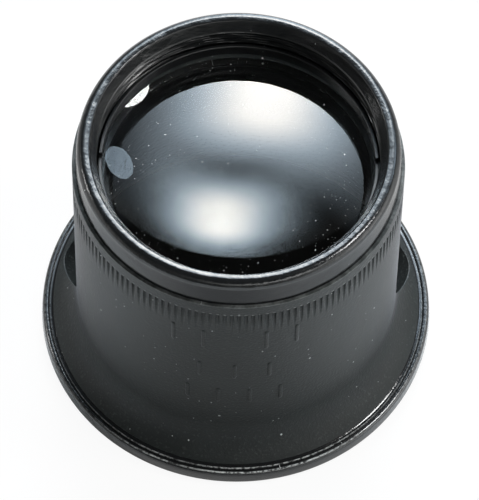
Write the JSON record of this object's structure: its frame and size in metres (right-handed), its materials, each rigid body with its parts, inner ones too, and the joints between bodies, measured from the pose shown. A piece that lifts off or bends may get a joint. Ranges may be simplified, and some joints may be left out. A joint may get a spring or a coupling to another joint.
{
  "type": "eye loupe",
  "caption": "Flared black eye cup with a fluted neck, side vents and a threaded holder that clamps a double-convex magnifying lens and unscrews for cleaning.",
  "frame": {"origin": "centre of the flat eye rim on which the loupe stands", "axes": "+Z is the optical axis, from the eye rim up to the lens; -Y faces the picture's viewer, between the two vents' far sides"},
  "size_m": [0.04, 0.04, 0.0325],
  "materials": {
    "bell_plastic": "satin moulded black plastic with a fine grain",
    "holder_plastic": "polished moulded black plastic",
    "lens_glass": "clear polished glass",
    "ring_plastic": "smooth black plastic"
  },
  "bodies": {
    "housing": {"housing": "bell_plastic"},
    "lens": {"lens": "lens_glass"},
    "lens_holder": {"lens_holder": "holder_plastic", "retaining_ring": "ring_plastic"}
  },
  "joints": [
    {"name": "holder_rise", "type": "slide", "parent": "housing", "child": "lens", "axis": [0, 0, 1], "range_m": [0, 0.004]},
    {"name": "holder_turn", "type": "hinge", "parent": "lens", "child": "lens_holder", "pos_m": [0, 0, 0.0293], "axis": [0, 0, 1], "range_deg": [0, 1440]}
  ],
  "couplings": [
    {"joint": "holder_rise", "follows": "holder_turn", "m_per_rad": 0.00015915}
  ]
}
